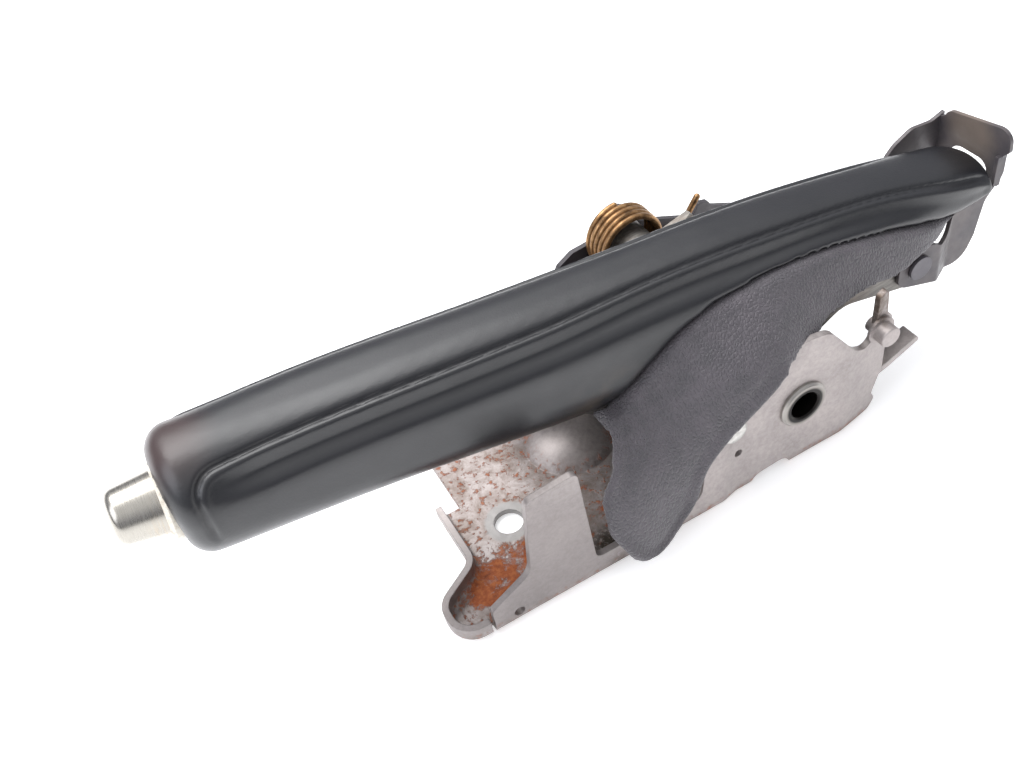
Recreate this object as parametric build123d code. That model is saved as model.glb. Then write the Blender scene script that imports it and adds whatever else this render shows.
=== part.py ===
"""Floor-mounted parking-brake lever of a car, lying fully down (brake released).

A stamped bracket carries the lever on a flared pivot tube. The lever is a steel tube welded
into a folded fork, with a soft grip, a skirt that hangs over both sides of the bracket, and a
push button whose rod lifts the pawl off the ratchet sector. Outboard of the bracket, on the
same pivot, a toothed wheel, a cable segment and a torsion spring take up the cable's slack.

Millimetres. +X points to the rear of the car, +Z up, -Y to the side with the bracket's tab.
The origin is the centre of the front fixing hole, on the underside of the base plate.
"""

import os
from math import atan2, ceil, cos, degrees, hypot, radians, sin, sqrt, tan

from build123d import *

os.makedirs("parts", exist_ok=True)

# Sheet metal and fixings
SHEET = 2.4                  # bracket sheet
BEND = 2.0                   # inside bend radius
HOLE_R = 5.4                 # fixing holes, for M10 bolts
HOLE_PITCH = (124.0, 62.0)   # fixing holes along X and Y
BASE_FRONT, BASE_REAR = -12.0, 138.0
NEAR_Y = -37.4               # outer face of the near wall
FAR_EDGE = 86.4              # far edge of the base plate

# Pivot
PIVOT_X, PIVOT_Z = 101.5, 31.0
TUBE_R = 7.0                 # pivot tube, outside
TUBE_WALL = 1.5
FLARE_R = 9.3
RUN = 0.05                   # radial running clearance
GAP = 0.35                   # side clearance between moving faces
BUSH_R = 9.5

# Lever
TILT = 8.0                   # the lever's tube falls this much towards the rear, degrees
AXIS_RISE = 31.3             # tube axis above the pivot, measured at the pivot
LEVER_TUBE_R = 12.5
LEVER_TUBE_WALL = 1.5
FORK_HALF = 15.0             # outer half width of the fork
FORK_SHEET = 2.5
TAIL_X, TAIL_Z = 168.5, 43.0  # pivot of the tail cover
SWING = 25.0                 # lever travel, degrees

# Grip and button
GRIP_FRONT = -95.0
GRIP_END = 204.0
COLLAR_U = -200.5            # collar centre, along the tube axis from above the pivot
COLLAR_R = 12.4
BUTTON_R, BUTTON_TIP_R = 9.9, 8.2
BUTTON_REACH = 15.4          # button tip ahead of the collar centre
BUTTON_TRAVEL = 6.0
ROD_R = 2.5

# Ratchet
SECTOR_R = 46.0              # over the teeth
TOOTH = 1.8
TOOTH_PITCH = 2.5            # degrees
SECTOR_SHEET = 5.0
STOP_X, STOP_Z = 72.0, 37.7  # stop pin
STOP_R = 4.0
PAWL_X, PAWL_Z = 52.0, 49.5
PAWL_PIN_R = 3.0

# Slack adjuster, outboard of the far cheek
CHEEK_FAR = 43.0             # outer face of the skirt's cheeks
WHEEL_R = 19.0
WHEEL_TEETH = 36
SEGMENT_R = 25.0
COIL_R = 13.7                # torsion spring, mean
COIL_WIRE = 2.8
COIL_TURNS = 4.25
FAR_WALL = 84.0              # inner face of the support's outer wall

AXIS_SIN, AXIS_COS = sin(radians(TILT)), cos(radians(TILT))


def axis_z(x):
    """Height of the lever tube's axis at x."""
    return PIVOT_Z + AXIS_RISE + (PIVOT_X - x) * tan(radians(TILT))


def on_axis(u):
    """Plane square to the lever tube, u along it from above the pivot; its z points rearwards."""
    origin = (PIVOT_X + u * AXIS_COS, 0, PIVOT_Z + AXIS_RISE - u * AXIS_SIN)
    return Plane(origin=origin, x_dir=(0, 1, 0), z_dir=(AXIS_COS, 0, -AXIS_SIN))


def outline(*corners):
    """Closed flat shape from (x, y) or (x, y, corner radius)."""
    radii = [c[2] if len(c) == 3 else 0 for c in corners]
    return make_face(FilletPolyline(*[c[:2] for c in corners], radius=radii, close=True))


def side(face, y0, y1):
    """A shape drawn in XZ, made solid from y0 to y1."""
    return extrude(Plane.XZ.offset(-y1) * face, y1 - y0)


def cross(x, z, r, y0, y1):
    """Cylinder along Y."""
    return side(Pos(x, z) * Circle(r), y0, y1)


def along(r, u0, u1):
    """Cylinder on the lever tube's axis."""
    return extrude(on_axis(u0) * Circle(r), u1 - u0)


def turned(points, plane):
    """Ring turned about the plane's normal from (radius, height) points."""
    face = Plane(plane.origin, x_dir=plane.x_dir, z_dir=-plane.y_dir) * make_face(
        Polyline(*points, close=True)
    )
    return revolve(face, Axis(plane.origin, plane.z_dir))


def flange(points, radii, height):
    """Upturned edge along a plan outline, kept on the outline's left, bent out of the sheet."""
    path = FilletPolyline(*points, radius=radii)
    dx, dy = points[1][0] - points[0][0], points[1][1] - points[0][1]
    size = hypot(dx, dy)
    dx, dy = dx / size, dy / size
    outer = BEND + SHEET
    section = outline(
        (0, 0, outer), (0, height), (-SHEET, height), (-SHEET, SHEET, BEND),
        (-outer - 3, SHEET), (-outer - 3, 0),
    )
    start = Plane(origin=(*points[0], 0), x_dir=(dy, -dx, 0), z_dir=(-dx, -dy, 0))
    return sweep(start * section, path=path)


def polar(r, angle):
    """Point at r and angle about the pivot; 0 is rearwards, 90 is up."""
    return PIVOT_X + r * cos(radians(angle)), PIVOT_Z + r * sin(radians(angle))


def save(name, shape, colour):
    shape.label = name
    shape.color = Color(colour)
    export_step(shape, f"parts/{name}.step")


# Bracket: one stamping with an upturned rim, a tab, a near wall and an embossed dome
def base_bracket():
    inset = BEND + SHEET
    floor = outline(
        (BASE_FRONT, FAR_EDGE, 10), (BASE_FRONT, 16), (LIP_X + inset, 16),
        (LIP_X + inset, -13.5), (LOBE_X + inset, -24), (LOBE_X + inset, NEAR_Y + inset, 5),
        (68, NEAR_Y + inset), (74, NEAR_Y + inset + JOGGLE), (121, NEAR_Y + inset + JOGGLE),
        (BASE_REAR, NEAR_Y + inset + 5), (BASE_REAR, FAR_EDGE, 14),
    )
    plate = extrude(floor, SHEET)
    rim = flange(
        [(LIP_X, 16), (LIP_X, -11), (LOBE_X, -21), (LOBE_X, NEAR_Y), (-26, NEAR_Y)],
        [6, 9, 9.5], RIM,
    )
    wall = flange(
        [(-24.6, NEAR_Y), (68, NEAR_Y), (74, NEAR_Y + JOGGLE), (121, NEAR_Y + JOGGLE),
         (146, NEAR_Y + JOGGLE + 4.8)],
        [10, 10, 14], 62,
    )
    profile = outline(
        (-24.6, -1), (-24.6, 13.5, 2), (-8.5, 23, 7), (-5, 57.5, 2.5), (13.5, 59, 2.5),
        (15.5, 11.5, 3), (58, 11.5, 5), (62, 38, 8), (72, 47.5, 8), (87, 53, 10), (99, 61, 14),
        (112, 58.5, 8), (124, 42, 12), (132, 37, 4), (134.5, 46, 3), (135, 58.5, 1.5),
        (139.5, 59.5, 1.5), (140, 49, 3), (143, 45, 3), (143, 38, 3), (141, 33, 3), (140.5, 21, 6), (136, 11, 2), (138, 7, 2), (131, -1),
    )
    wall &= side(profile, NEAR_Y - 2, NEAR_Y + 16)
    body = plate + rim + wall
    dome = Sphere(DOME_BALL)
    dome_z = SHEET + DOME_RISE - DOME_BALL
    above = Pos(*DOME_AT, SHEET + DOME_RISE / 2) * Box(60, 60, DOME_RISE + 0.1)
    body += (Pos(*DOME_AT, dome_z) * dome) & above
    body -= Pos(*DOME_AT, dome_z) * Sphere(DOME_BALL - SHEET)
    tongue = outline((134, 15), (144, 18, 4), (158, 24, 1), (157, 26.3, 1), (143, 20.6, 2), (134, 18))
    body += side(tongue, NEAR_Y + 6, NEAR_Y + 13)
    arch = outline((78, -1), (82, 5.5, 4), (95, 6.5, 4), (99, -1))
    body -= side(arch, NEAR_Y - 2, NEAR_Y + 8)
    for x in (0, HOLE_PITCH[0]):
        for y in (0, HOLE_PITCH[1]):
            body -= Pos(x, y) * Cylinder(HOLE_R, 20)
    body -= cross(-15.4, 6.4, 2.0, NEAR_Y - 2, NEAR_Y + 5)
    body -= cross(74.7, 23.1, 1.6, NEAR_Y - 2, NEAR_Y + 5)
    body -= cross(PIVOT_X, PIVOT_Z, TUBE_R, NEAR_Y - 2, NEAR_Y + 6)
    body -= stop_pin() + cable_peg()
    for x, y in FLOOR_RIVETS:
        body -= Pos(x, y) * Cylinder(RIVET_R, 20)
    return body


LIP_X = -21.0
LOBE_X = -38.0
RIM = 8.5                    # rim height
JOGGLE = 1.5                 # the wall steps in by this at the pivot
DOME_AT = (38.0, 21.0)
DOME_RISE = 7.0
DOME_BALL = 26.6             # outer radius of the dome
PEG_X, PEG_Z, PEG_R = 136.3, 43.6, 4.0
PEG_REACH = 39.0
PEG_SEAT = -34.2             # face of the peg's shoulder
RIVET_R = 2.5
FLOOR_RIVETS = [(x, y) for x in (80, 118) for y in (44, 77)]


def far_support():
    """Black channel beside the bracket: inner wall, floor on the base plate, outer wall."""
    outer = BEND + SHEET
    y0, y1 = -NEAR_Y - SHEET, FAR_WALL + SHEET
    section = outline(
        (y0, SHEET, outer), (y1, SHEET, outer), (y1, 70), (y1 - SHEET, 70),
        (y1 - SHEET, 2 * SHEET, BEND), (y0 + SHEET, 2 * SHEET, BEND), (y0 + SHEET, 70), (y0, 70),
    )
    channel = extrude(Plane(origin=(60, 0, 0), x_dir=(0, 1, 0), z_dir=(1, 0, 0)) * section, 110)
    inner_wall = outline(
        (68, 0), (64, 30, 6), (67, 46, 6), (101, 50, 14), (115, 46, 12), (129, 28, 10), (134, 0),
    )
    outer_wall = outline(
        (70, 0), (70, 18, 6), (74, 25.5, 3), (81, 29.4, 3), (90, 30, 4), (96, 42, 7), (107, 42, 7),
        (113, 30, 5), (140, 18, 1), (143.6, 23.5, 0.8), (148.5, 22.2, 1.5), (150, 19, 1),
        (163, 13, 3), (163, 8, 3), (136, 6, 6), (134, 0),
    )
    middle = (y0 + y1) / 2
    channel &= side(inner_wall, y0 - 1, middle) + side(outer_wall, middle, y1 + 1)
    channel -= cross(PIVOT_X, PIVOT_Z, BUSH_R + 2 * RUN, y0 - 1, middle)
    channel -= cross(PIVOT_X, PIVOT_Z, TUBE_R, middle, y1 + 1)
    channel -= cross(STOP_X, STOP_Z, STOP_R - 1, y0 - 1, middle)
    channel -= Pos(HOLE_PITCH[0], HOLE_PITCH[1]) * Cylinder(HOLE_R + 1, 20)
    for x, y in FLOOR_RIVETS:
        channel -= Pos(x, y) * Cylinder(RIVET_R, 20)
    return channel


def rivet(length, r=RIVET_R, head=2.0):
    """Domed rivet along +Z from its lower head's seat to the upper one's."""
    cap = Sphere(1.45 * head + 0.5 * r)
    dome_r = 1.45 * head + 0.5 * r
    top = (Pos(0, 0, length + head - dome_r) * cap) & (Pos(0, 0, length + 5) * Box(30, 30, 10))
    low = Pos(0, 0, -0.75) * Cylinder(r * 1.5, 1.5)
    return Pos(0, 0, length / 2) * Cylinder(r, length) + top + low


def channel_rivets():
    """Four rivets from the channel's floor through the base plate, flush below."""
    shank = 2 * SHEET
    one = Pos(0, 0, shank / 2) * Cylinder(RIVET_R, shank)
    head = Pos(0, 0, shank) * extrude(Circle(RIVET_R + 2), 1.6)
    one += fillet(head.edges().group_by(Axis.Z)[-1], 1.2)
    return Compound([Pos(x, y) * one for x, y in FLOOR_RIVETS])


def pivot_tube():
    """Tubular rivet, flared over both walls."""
    y0, y1 = NEAR_Y + JOGGLE, FAR_WALL + SHEET
    bore = TUBE_R - TUBE_WALL
    lip = 1.7
    ring = [(bore, y0 - lip + 0.5), (bore + 0.7, y0 - lip), (FLARE_R - 0.8, y0 - lip),
            (FLARE_R, y0 - lip + 0.8), (FLARE_R, y0), (TUBE_R, y0), (TUBE_R, y1),
            (FLARE_R, y1), (FLARE_R, y1 + lip - 0.8), (FLARE_R - 0.8, y1 + lip),
            (bore + 0.7, y1 + lip), (bore, y1 + lip - 0.5)]
    return about_pivot(ring)


def about_pivot(points):
    """Solid turned about the pivot from (radius, y) points."""
    face = make_face(Polyline(*[(PIVOT_X + r, y) for r, y in points], close=True))
    return revolve(Pos(0, 0, PIVOT_Z) * face, Axis((PIVOT_X, 0, PIVOT_Z), (0, 1, 0)))


def stop_pin():
    """Cross pin between the walls; it carries the sector and ends the lever's travel."""
    y0, y1 = NEAR_Y + 0.75, -NEAR_Y
    neck = STOP_R - 1
    shaft = cross(STOP_X, STOP_Z, STOP_R, y0 + SHEET, y1 - SHEET)
    shaft += cross(STOP_X, STOP_Z, neck, y0 - 1, y1 + 1)
    for y, way in ((y0, -1), (y1, 1)):
        head = cross(STOP_X, STOP_Z, STOP_R + 1, min(y, y + way * 1.8), max(y, y + way * 1.8))
        edge = head.edges().sort_by(Axis.Y)[-1 if way > 0 else 0]
        shaft += fillet(edge, 1.3)
    return shaft


def ratchet_sector():
    """Toothed sector on the pivot tube and the stop pin."""
    first, last = 134.0, 179.0
    points = []
    for i in range(int((last - first) / TOOTH_PITCH)):
        angle = first + i * TOOTH_PITCH
        points += [polar(SECTOR_R - TOOTH, angle), polar(SECTOR_R, angle + 0.35 * TOOTH_PITCH)]
    points += [polar(SECTOR_R - TOOTH, last), polar(SECTOR_R - 6, last + 4)]
    points += [polar(24, 196), polar(12, 215)]
    points += [polar(12, 300), polar(12, 0), polar(12, 60)]
    points += [polar(24, 118), polar(SECTOR_R - 6, first - 4)]
    half = SECTOR_SHEET / 2
    plate = side(make_face(Polyline(*points, close=True)), -half, half)
    plate -= cross(PIVOT_X, PIVOT_Z, TUBE_R, -9, 9)
    plate -= cross(STOP_X, STOP_Z, STOP_R, -9, 9)
    window = [polar(32, 128), polar(38, 132), polar(38, 152), polar(22, 152), polar(22, 132)]
    return plate - side(make_face(Polyline(*window, close=True)), -9, 9)


def cable_peg():
    """Zinc-plated stub that the cable sheath's end bracket hooks over."""
    peg = fillet(cross(PEG_X, PEG_Z, PEG_R, -PEG_REACH, PEG_SEAT).edges().sort_by(Axis.Y)[0], 0.6)
    peg += cross(PEG_X, PEG_Z, PEG_R + 1.4, PEG_SEAT, PEG_SEAT + 1.2)
    return peg + cross(PEG_X, PEG_Z, PEG_R - 1, PEG_SEAT, PEG_SEAT + 5)


# Lever
FORK_FRONT = 20.0


def fork_outline(grow=0.0):
    g = grow
    top = [(x, axis_z(x) + LEVER_TUBE_R + FORK_SHEET + g) for x in (FORK_FRONT - g, 104)]
    return outline(
        (FORK_FRONT - g, axis_z(FORK_FRONT) - 10 - g, 4), (*top[0], 3), (*top[1], 30), (150, 66 + g, 20),
        (171, 55 + g, 8), (178.5 + g, 46, 7), (175 + g, 35.5 - g, 7), (164, 34 - g, 8),
        (136, 41 - g, 12), (118 + g, 31, 10), (111 + g, 15.5 - g, 12), (92, 15.5 - g, 12),
        (84, 22 - g, 10), (64 - g, 17.5 - g, 7), (62 - g, 36, 8), (44 - g, 42 - g, 6),
    )


def lever_fork():
    """Folded sheet fork: two cheeks joined along the top, open below."""
    shape = fork_outline()
    fork = side(shape, -FORK_HALF, FORK_HALF)
    inside = FORK_HALF - FORK_SHEET
    hollow = side(Pos(0, -FORK_SHEET) * shape, -inside, inside)
    hollow += side(Pos(0, -FORK_SHEET - 6) * shape, -inside, inside)
    hollow += side(outline((150, 30), (150, 58), (190, 58), (190, 30)), -inside, inside)
    front = FORK_FRONT
    hollow += side(
        outline((front - 5, 30), (front - 5, 86), (front + 8, 85), (front + 8, 30)), -inside, inside
    )
    fork -= hollow
    fork -= along(LEVER_TUBE_R, -90, -45)
    fork -= cross(PIVOT_X, PIVOT_Z, BUSH_R, -20, 20)
    fork -= cross(PAWL_X, PAWL_Z, PAWL_PIN_R, -20, 20)
    fork -= cross(TAIL_X, TAIL_Z, TAIL_PIN_R, -20, 20)
    return fork - side(stop_slot(), -20, 20)


TAIL_PIN_R = 3.0


def stop_slot():
    """Arc slot that runs over the stop pin as the lever swings."""
    radius = hypot(STOP_X - PIVOT_X, STOP_Z - PIVOT_Z)
    start = degrees(atan2(STOP_Z - PIVOT_Z, STOP_X - PIVOT_X))
    ease = STOP_R + 0.4
    margin = degrees(0.3 / radius)
    inner, outer = radius - ease, radius + ease
    low, high = start - margin, start + SWING + margin
    middle = (low + high) / 2
    sides = [
        ThreePointArc(polar(inner, low), polar(inner, middle), polar(inner, high)),
        ThreePointArc(polar(inner, high), polar(radius, high + degrees(ease / radius)),
                      polar(outer, high)),
        ThreePointArc(polar(outer, high), polar(outer, middle), polar(outer, low)),
        ThreePointArc(polar(outer, low), polar(radius, low - degrees(ease / radius)),
                      polar(inner, low)),
    ]
    return make_face(sides)


def lever_tube():
    """Steel tube inside the grip, closed at the front by the collar."""
    return along(LEVER_TUBE_R, TUBE_FRONT, TUBE_REAR) - along(
        LEVER_TUBE_R - LEVER_TUBE_WALL, TUBE_FRONT - 1, TUBE_REAR + 1
    )


TUBE_FRONT, TUBE_REAR = -190.0, -57.0
NEAR_FACE = NEAR_Y + JOGGLE + SHEET   # inner face of the near wall at the pivot


def bush(y0, y1):
    return cross(PIVOT_X, PIVOT_Z, BUSH_R, y0, y1) - cross(
        PIVOT_X, PIVOT_Z, TUBE_R + RUN, y0 - 1, y1 + 1
    )


def near_bush():
    return bush(NEAR_FACE + GAP, -SECTOR_SHEET / 2 - GAP)


def far_bush():
    """Longer bush; it runs in the support's inner wall and drives the adjuster's wheel."""
    return bush(SECTOR_SHEET / 2 + GAP, HUB_Y - GAP)


HUB_Y = 62.0


def cross_pin(x, z, r, head=1.6):
    """Pin through both cheeks of the fork with a flat head at each end."""
    pin = cross(x, z, r, -FORK_HALF - head, FORK_HALF + head)
    for y in (-FORK_HALF - head, FORK_HALF):
        pin += cross(x, z, r + 1.5, y, y + head)
    return pin


def button_collar():
    """Turned ring that closes the grip's front and guides the button."""
    u = COLLAR_U
    bore = BUTTON_R + 0.3
    inner = LEVER_TUBE_R - LEVER_TUBE_WALL
    points = [(bore, 0), (COLLAR_R - 1.2, 0), (COLLAR_R, 1.2), (COLLAR_R, 12), (inner, 12),
              (inner, 18), (bore, 18)]
    return turned(points, on_axis(u - 1.5))


def push_button():
    """Tapered cap with a domed front and a skirted shank, hollow for the spring."""
    tip = COLLAR_U - BUTTON_REACH
    round_r = 3.2
    cap = turned([(0, 0), (BUTTON_TIP_R, 0), (BUTTON_R, BUTTON_REACH), (BUTTON_R, 25), (0, 25)],
                 on_axis(tip))
    cap = fillet(cap.edges().sort_by(Axis.X)[0], round_r)
    hollow = along(BUTTON_R - 2.4, tip + 9, tip + 26)
    stem = along(ROD_R + 1.5, tip + 8, tip + 25) - along(ROD_R, tip + 12, tip + 26)
    return cap - hollow + stem


def release_rod():
    """Rod from the button to the pawl, with a flat push head."""
    start = COLLAR_U - BUTTON_REACH + 12
    return along(ROD_R, start, ROD_END - 2.5) + along(4.0, ROD_END - 2.5, ROD_END)


PUSH_PAD_R = 3.0
PAWL_ARM = axis_z(PAWL_X) - PAWL_Z
ROD_END = (PAWL_X - PIVOT_X) / AXIS_COS - PUSH_PAD_R - 0.45


def rod_guide():
    """Moulded guide pressed into the tube; the button's spring stands on it."""
    u = GUIDE_U
    guide = along(LEVER_TUBE_R - LEVER_TUBE_WALL, u, u + 8)
    return guide - along(ROD_R + 0.1, u - 1, u + 9)


GUIDE_U = -150.0


def coil(radius, wire, turns, pitch, plane, left=False):
    """Round-wire coil rising from the plane."""
    path = Helix(pitch, turns * pitch, radius, lefthand=left)
    section = Plane(origin=path @ 0, z_dir=path % 0) * Circle(wire / 2)
    return plane * sweep(section, path=path, is_frenet=True)


def button_spring():
    u0 = COLLAR_U - BUTTON_REACH + 10
    length = GUIDE_U - u0 - 1.4
    turns = 9
    return coil(5.6, 1.2, turns, length / turns, on_axis(u0 + 0.7))


def pawl():
    """Rocker between the cheeks: push pad above its pin, tooth below."""
    tip = SECTOR_R + 0.35
    angle = PAWL_TOOTH_ANGLE
    tooth = outline(
        polar(tip, angle), polar(tip + 4.5, angle - 4.2), (PAWL_X + 4.2, PAWL_Z + 3),
        (PAWL_X - 4.5, PAWL_Z), (PAWL_X - 2, PAWL_Z - 9), polar(tip + 1.8, angle + 2.2),
    )
    half = SECTOR_SHEET / 2
    body = side(tooth, -half, half)
    body += cross(PAWL_X, PAWL_Z, 5.5, -half, half)
    arm = outline(
        (PAWL_X - 3.5, PAWL_Z), (PAWL_X - 2.4, PAWL_Z + PAWL_ARM), (PAWL_X + 2.4, PAWL_Z + PAWL_ARM),
        (PAWL_X + 3.5, PAWL_Z),
    )
    body += side(arm, -half, half) + cross(PAWL_X, PAWL_Z + PAWL_ARM, PUSH_PAD_R, -half, half)
    return body - cross(PAWL_X, PAWL_Z, PAWL_PIN_R + RUN, -9, 9)


PAWL_TOOTH_ANGLE = 172.0


def pawl_spacer(way):
    """Sleeve that centres the pawl on its pin."""
    y0 = SECTOR_SHEET / 2 + GAP
    y1 = FORK_HALF - FORK_SHEET
    y0, y1 = (y0, y1) if way > 0 else (-y1, -y0)
    return cross(PAWL_X, PAWL_Z, 5.0, y0, y1) - cross(PAWL_X, PAWL_Z, PAWL_PIN_R, y0 - 1, y1 + 1)


# Grip: x, centre height, half width, half height
GRIP = [
    (-98.0, 91.6, 19.0, 19.0), (-60.0, 87.2, 19.6, 20.3), (-10.0, 79.8, 20.2, 22.0),
    (40.0, 72.0, 20.4, 23.6), (80.0, 68.0, 20.2, 23.6), (120.0, 65.4, 19.6, 20.8),
    (155.0, 63.5, 18.0, 15.0), (185.0, 61.8, 15.8, 9.2), (204.4, 60.2, 14.5, 5.4),
]
SEAM = [(38.5, 57), (54, 68), (69, 76), (89, 78.5), (112.5, 77), (133.5, 73), (156, 66.5),
        (181, 57.5), (206, 53)]


def grip_body():
    rings = []
    for x, z, a, b in GRIP:
        plane = Plane(origin=(x, 0, z), x_dir=(0, 1, 0), z_dir=(1, 0, 0))
        rings.append(plane * RectangleRounded(2 * a, 2 * b, min(a, b) * 0.86))
    body = loft(rings)
    return fillet(body.faces().sort_by(Axis.X)[0].edges(), 9)


# Skirt: x, then half widths at the heights of SKIRT_Z
SKIRT_Z = (0.0, 25.0, 45.0, 61.0, 70.0, 80.0)
SKIRT = [
    (18.0, (38.4, 38.0, 32.4, 20.2, 15.8, 12.0)), (40.0, (43.0, 42.5, 36.5, 20.8, 17.0, 13.0)),
    (70.0, (43.0, 43.0, 41.2, 35.0, 26.5, 17.0)), (95.0, (42.8, 42.8, 41.7, 38.9, 31.0, 18.0)),
    (120.0, (33.0, 33.0, 32.3, 29.0, 24.0, 15.0)), (145.0, (25.0, 25.0, 24.4, 22.0, 19.0, 13.0)),
    (175.0, (17.2, 17.2, 17.1, 16.5, 12.0, 6.0)), (206.0, (14.4, 14.4, 14.2, 11.0, 8.0, 4.0)),
]
SKIRT_WALL = 2.5
SKIRT_ROOF = 3.5


def skirt_body(inset=0.0):
    rings = []
    for x, widths in SKIRT:
        half = [(w - inset, z) for w, z in zip(widths, SKIRT_Z)]
        right = Spline(*half)
        left = Spline(*[(-w, z) for w, z in half])
        low = Line((-half[0][0], half[0][1]), (half[0][0], half[0][1]))
        high = Line((half[-1][0], half[-1][1]), (-half[-1][0], half[-1][1]))
        face = make_face([low, right, high, left])
        rings.append(Plane(origin=(x, 0, 0), x_dir=(0, 1, 0), z_dir=(1, 0, 0)) * face)
    return loft(rings)


def below_seam(front, drop=0.0):
    """Everything under the seam between grip and skirt, from x = front to the rear."""
    points = [(x, z - drop) for x, z in SEAM]
    edge = Spline(*points)
    rest = Polyline(
        points[-1], (230, points[-1][1]), (230, -30), (front, -30), (front, points[0][1]), points[0]
    )
    return side(make_face([edge, rest]), -70, 70)


def grip(body):
    shell = body - below_seam(SEAM[0][0] - 0.5)
    shell -= side(fork_outline(), -FORK_HALF, FORK_HALF)
    shell -= along(LEVER_TUBE_R, TUBE_FRONT, TUBE_REAR)
    shell -= along(COLLAR_R, COLLAR_U - 20, TUBE_FRONT)
    return shell - arm_pocket()


def skirt(body, upper):
    """Moulded skirt: two cheeks over the bracket, closed under the grip's tail."""
    rim = outline(
        (40, 90), (37.8, 60.7), (31.5, 53, 10), (20.5, 40, 14), (20, 24, 12), (26.5, 8.5, 9),
        (40, 4.8, 8), (53.5, 16, 16), (59, 32, 22), (71.5, 43.5, 24), (89, 55.3, 30), (99, 62.5, 8),
        (119, 63.5, 16), (140, 57, 14), (158, 53, 12), (182, 51.5, 14), (204.0, 54, 2), (204.0, 90),
    )
    front = 10
    shell = (body + skirt_body()) & below_seam(front, 0.25) & side(rim, -70, 70)
    hollow = skirt_body(SKIRT_WALL) & below_seam(front, SKIRT_ROOF)
    shell -= hollow & (Pos(77, 0, 30) * Box(140, 120, 120))
    shell -= side(fork_outline(), -FORK_HALF, FORK_HALF)
    shell -= upper + arm_pocket()
    return shell.solids().sort_by(SortBy.VOLUME)[-1]


# Tail cover
COVER_SHEET = 1.5
COVER_Y = FORK_HALF + GAP + COVER_SHEET / 2
NEAR_ARM_Y = 11.25           # the near arm steps in under the tail
FAR_ARM_Y = 18.95            # the far arm steps out past the tail


def bent_strip(plan, profile):
    """Upright sheet along a plan path, cut to a profile drawn in XZ."""
    strip = trace(FilletPolyline(*plan, radius=3), COVER_SHEET)
    return extrude(Pos(0, 0, 20) * strip, 70) & side(profile, -30, 30)


def tail_cover():
    """Sheet yoke on the fork's tail; its cross plate stands behind the grip's end."""
    near_profile = outline(
        (TAIL_X - 9, 37, 6), (TAIL_X - 9, 50.4, 7), (174, 50.6, 7), (178, 48, 4), (184, 47, 3),
        (188, 54.5, 4), (195, 57.3, 3), (205.4, 57.6, 1), (205.4, 70), (209.5, 70), (209.5, 61, 5),
        (202.5, 53, 6), (200, 38, 7), (195.5, 28, 8), (178, 30.5, 8), (168, 34, 6),
    )
    far_profile = outline(
        (TAIL_X - 9, 37, 6), (TAIL_X - 9, 50.4, 7), (181.2, 50.4, 3), (182, 64, 4),
        (186, 68.2, 6), (193.5, 72, 6), (203, 71, 5), (209, 73), (209, 56), (205, 56, 4),
        (198, 59.5, 4), (192, 57, 6), (186, 47, 8), (181, 37, 8), (170, 33.5, 8),
    )
    near = bent_strip(
        [(150, -COVER_Y), (178.5, -COVER_Y), (187, -NEAR_ARM_Y), (215, -NEAR_ARM_Y)], near_profile
    )
    far = bent_strip(
        [(150, COVER_Y), (177.5, COVER_Y), (181.5, FAR_ARM_Y), (215, FAR_ARM_Y)], far_profile
    )
    lean = outline((206.5, 50), (207.5, 66, 12), (204.8, 90), (206.3, 90), (209, 66, 12), (208, 50))
    y0, y1 = -NEAR_ARM_Y - COVER_SHEET / 2, FAR_ARM_Y + COVER_SHEET / 2
    front = outline(
        (y0, 57), (y0, 70, 3), (y0 - 3, 73, 3), (y0 - 3, 82.5, 4.5), (14, 76.6, 5), (16.5, 72.6, 3),
        (y1, 71.5, 1), (y1, 56, 2), (14, 57.5, 5), (9, 64, 6), (-5, 64, 5), (-7.5, 57),
    )
    plate = side(lean, -30, 30)
    plate &= extrude(Plane(origin=(200, 0, 0), x_dir=(0, 1, 0), z_dir=(1, 0, 0)) * front, 15)
    cover = near + far + plate
    return cover - cross(TAIL_X, TAIL_Z, TAIL_PIN_R + RUN, -30, 30)


def arm_pocket():
    """Recess in the grip's tail that the cover's near arm passes through."""
    y = NEAR_ARM_Y
    ease = COVER_SHEET / 2 + 0.7
    return side(outline((184, 40), (184, 56.5, 3), (190, 58.4), (210, 58.8), (210, 40)),
                -y - ease, -y + ease)


def tail_pin():
    """Shouldered pin that the tail cover turns on."""
    y = COVER_Y + COVER_SHEET / 2 + GAP
    pin = cross(TAIL_X, TAIL_Z, TAIL_PIN_R, -y - 1.2, y + 1.2)
    for y0 in (-y - 1.2, y):
        pin += cross(TAIL_X, TAIL_Z, TAIL_PIN_R + 1.8, y0, y0 + 1.2)
    return pin


# Slack adjuster
def drive_wheel():
    """Fine-toothed wheel pressed on the far bush."""
    points = []
    step = 360 / WHEEL_TEETH
    for i in range(WHEEL_TEETH):
        points += [polar(WHEEL_R - 1.2, i * step), polar(WHEEL_R, (i + 0.7) * step)]
    wheel = side(make_face(Polyline(*points, close=True)), WHEEL_Y, WHEEL_Y + 3)
    return wheel - cross(PIVOT_X, PIVOT_Z, BUSH_R, WHEEL_Y - 1, WHEEL_Y + 4)


WHEEL_Y = CHEEK_FAR + 1.5


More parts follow.
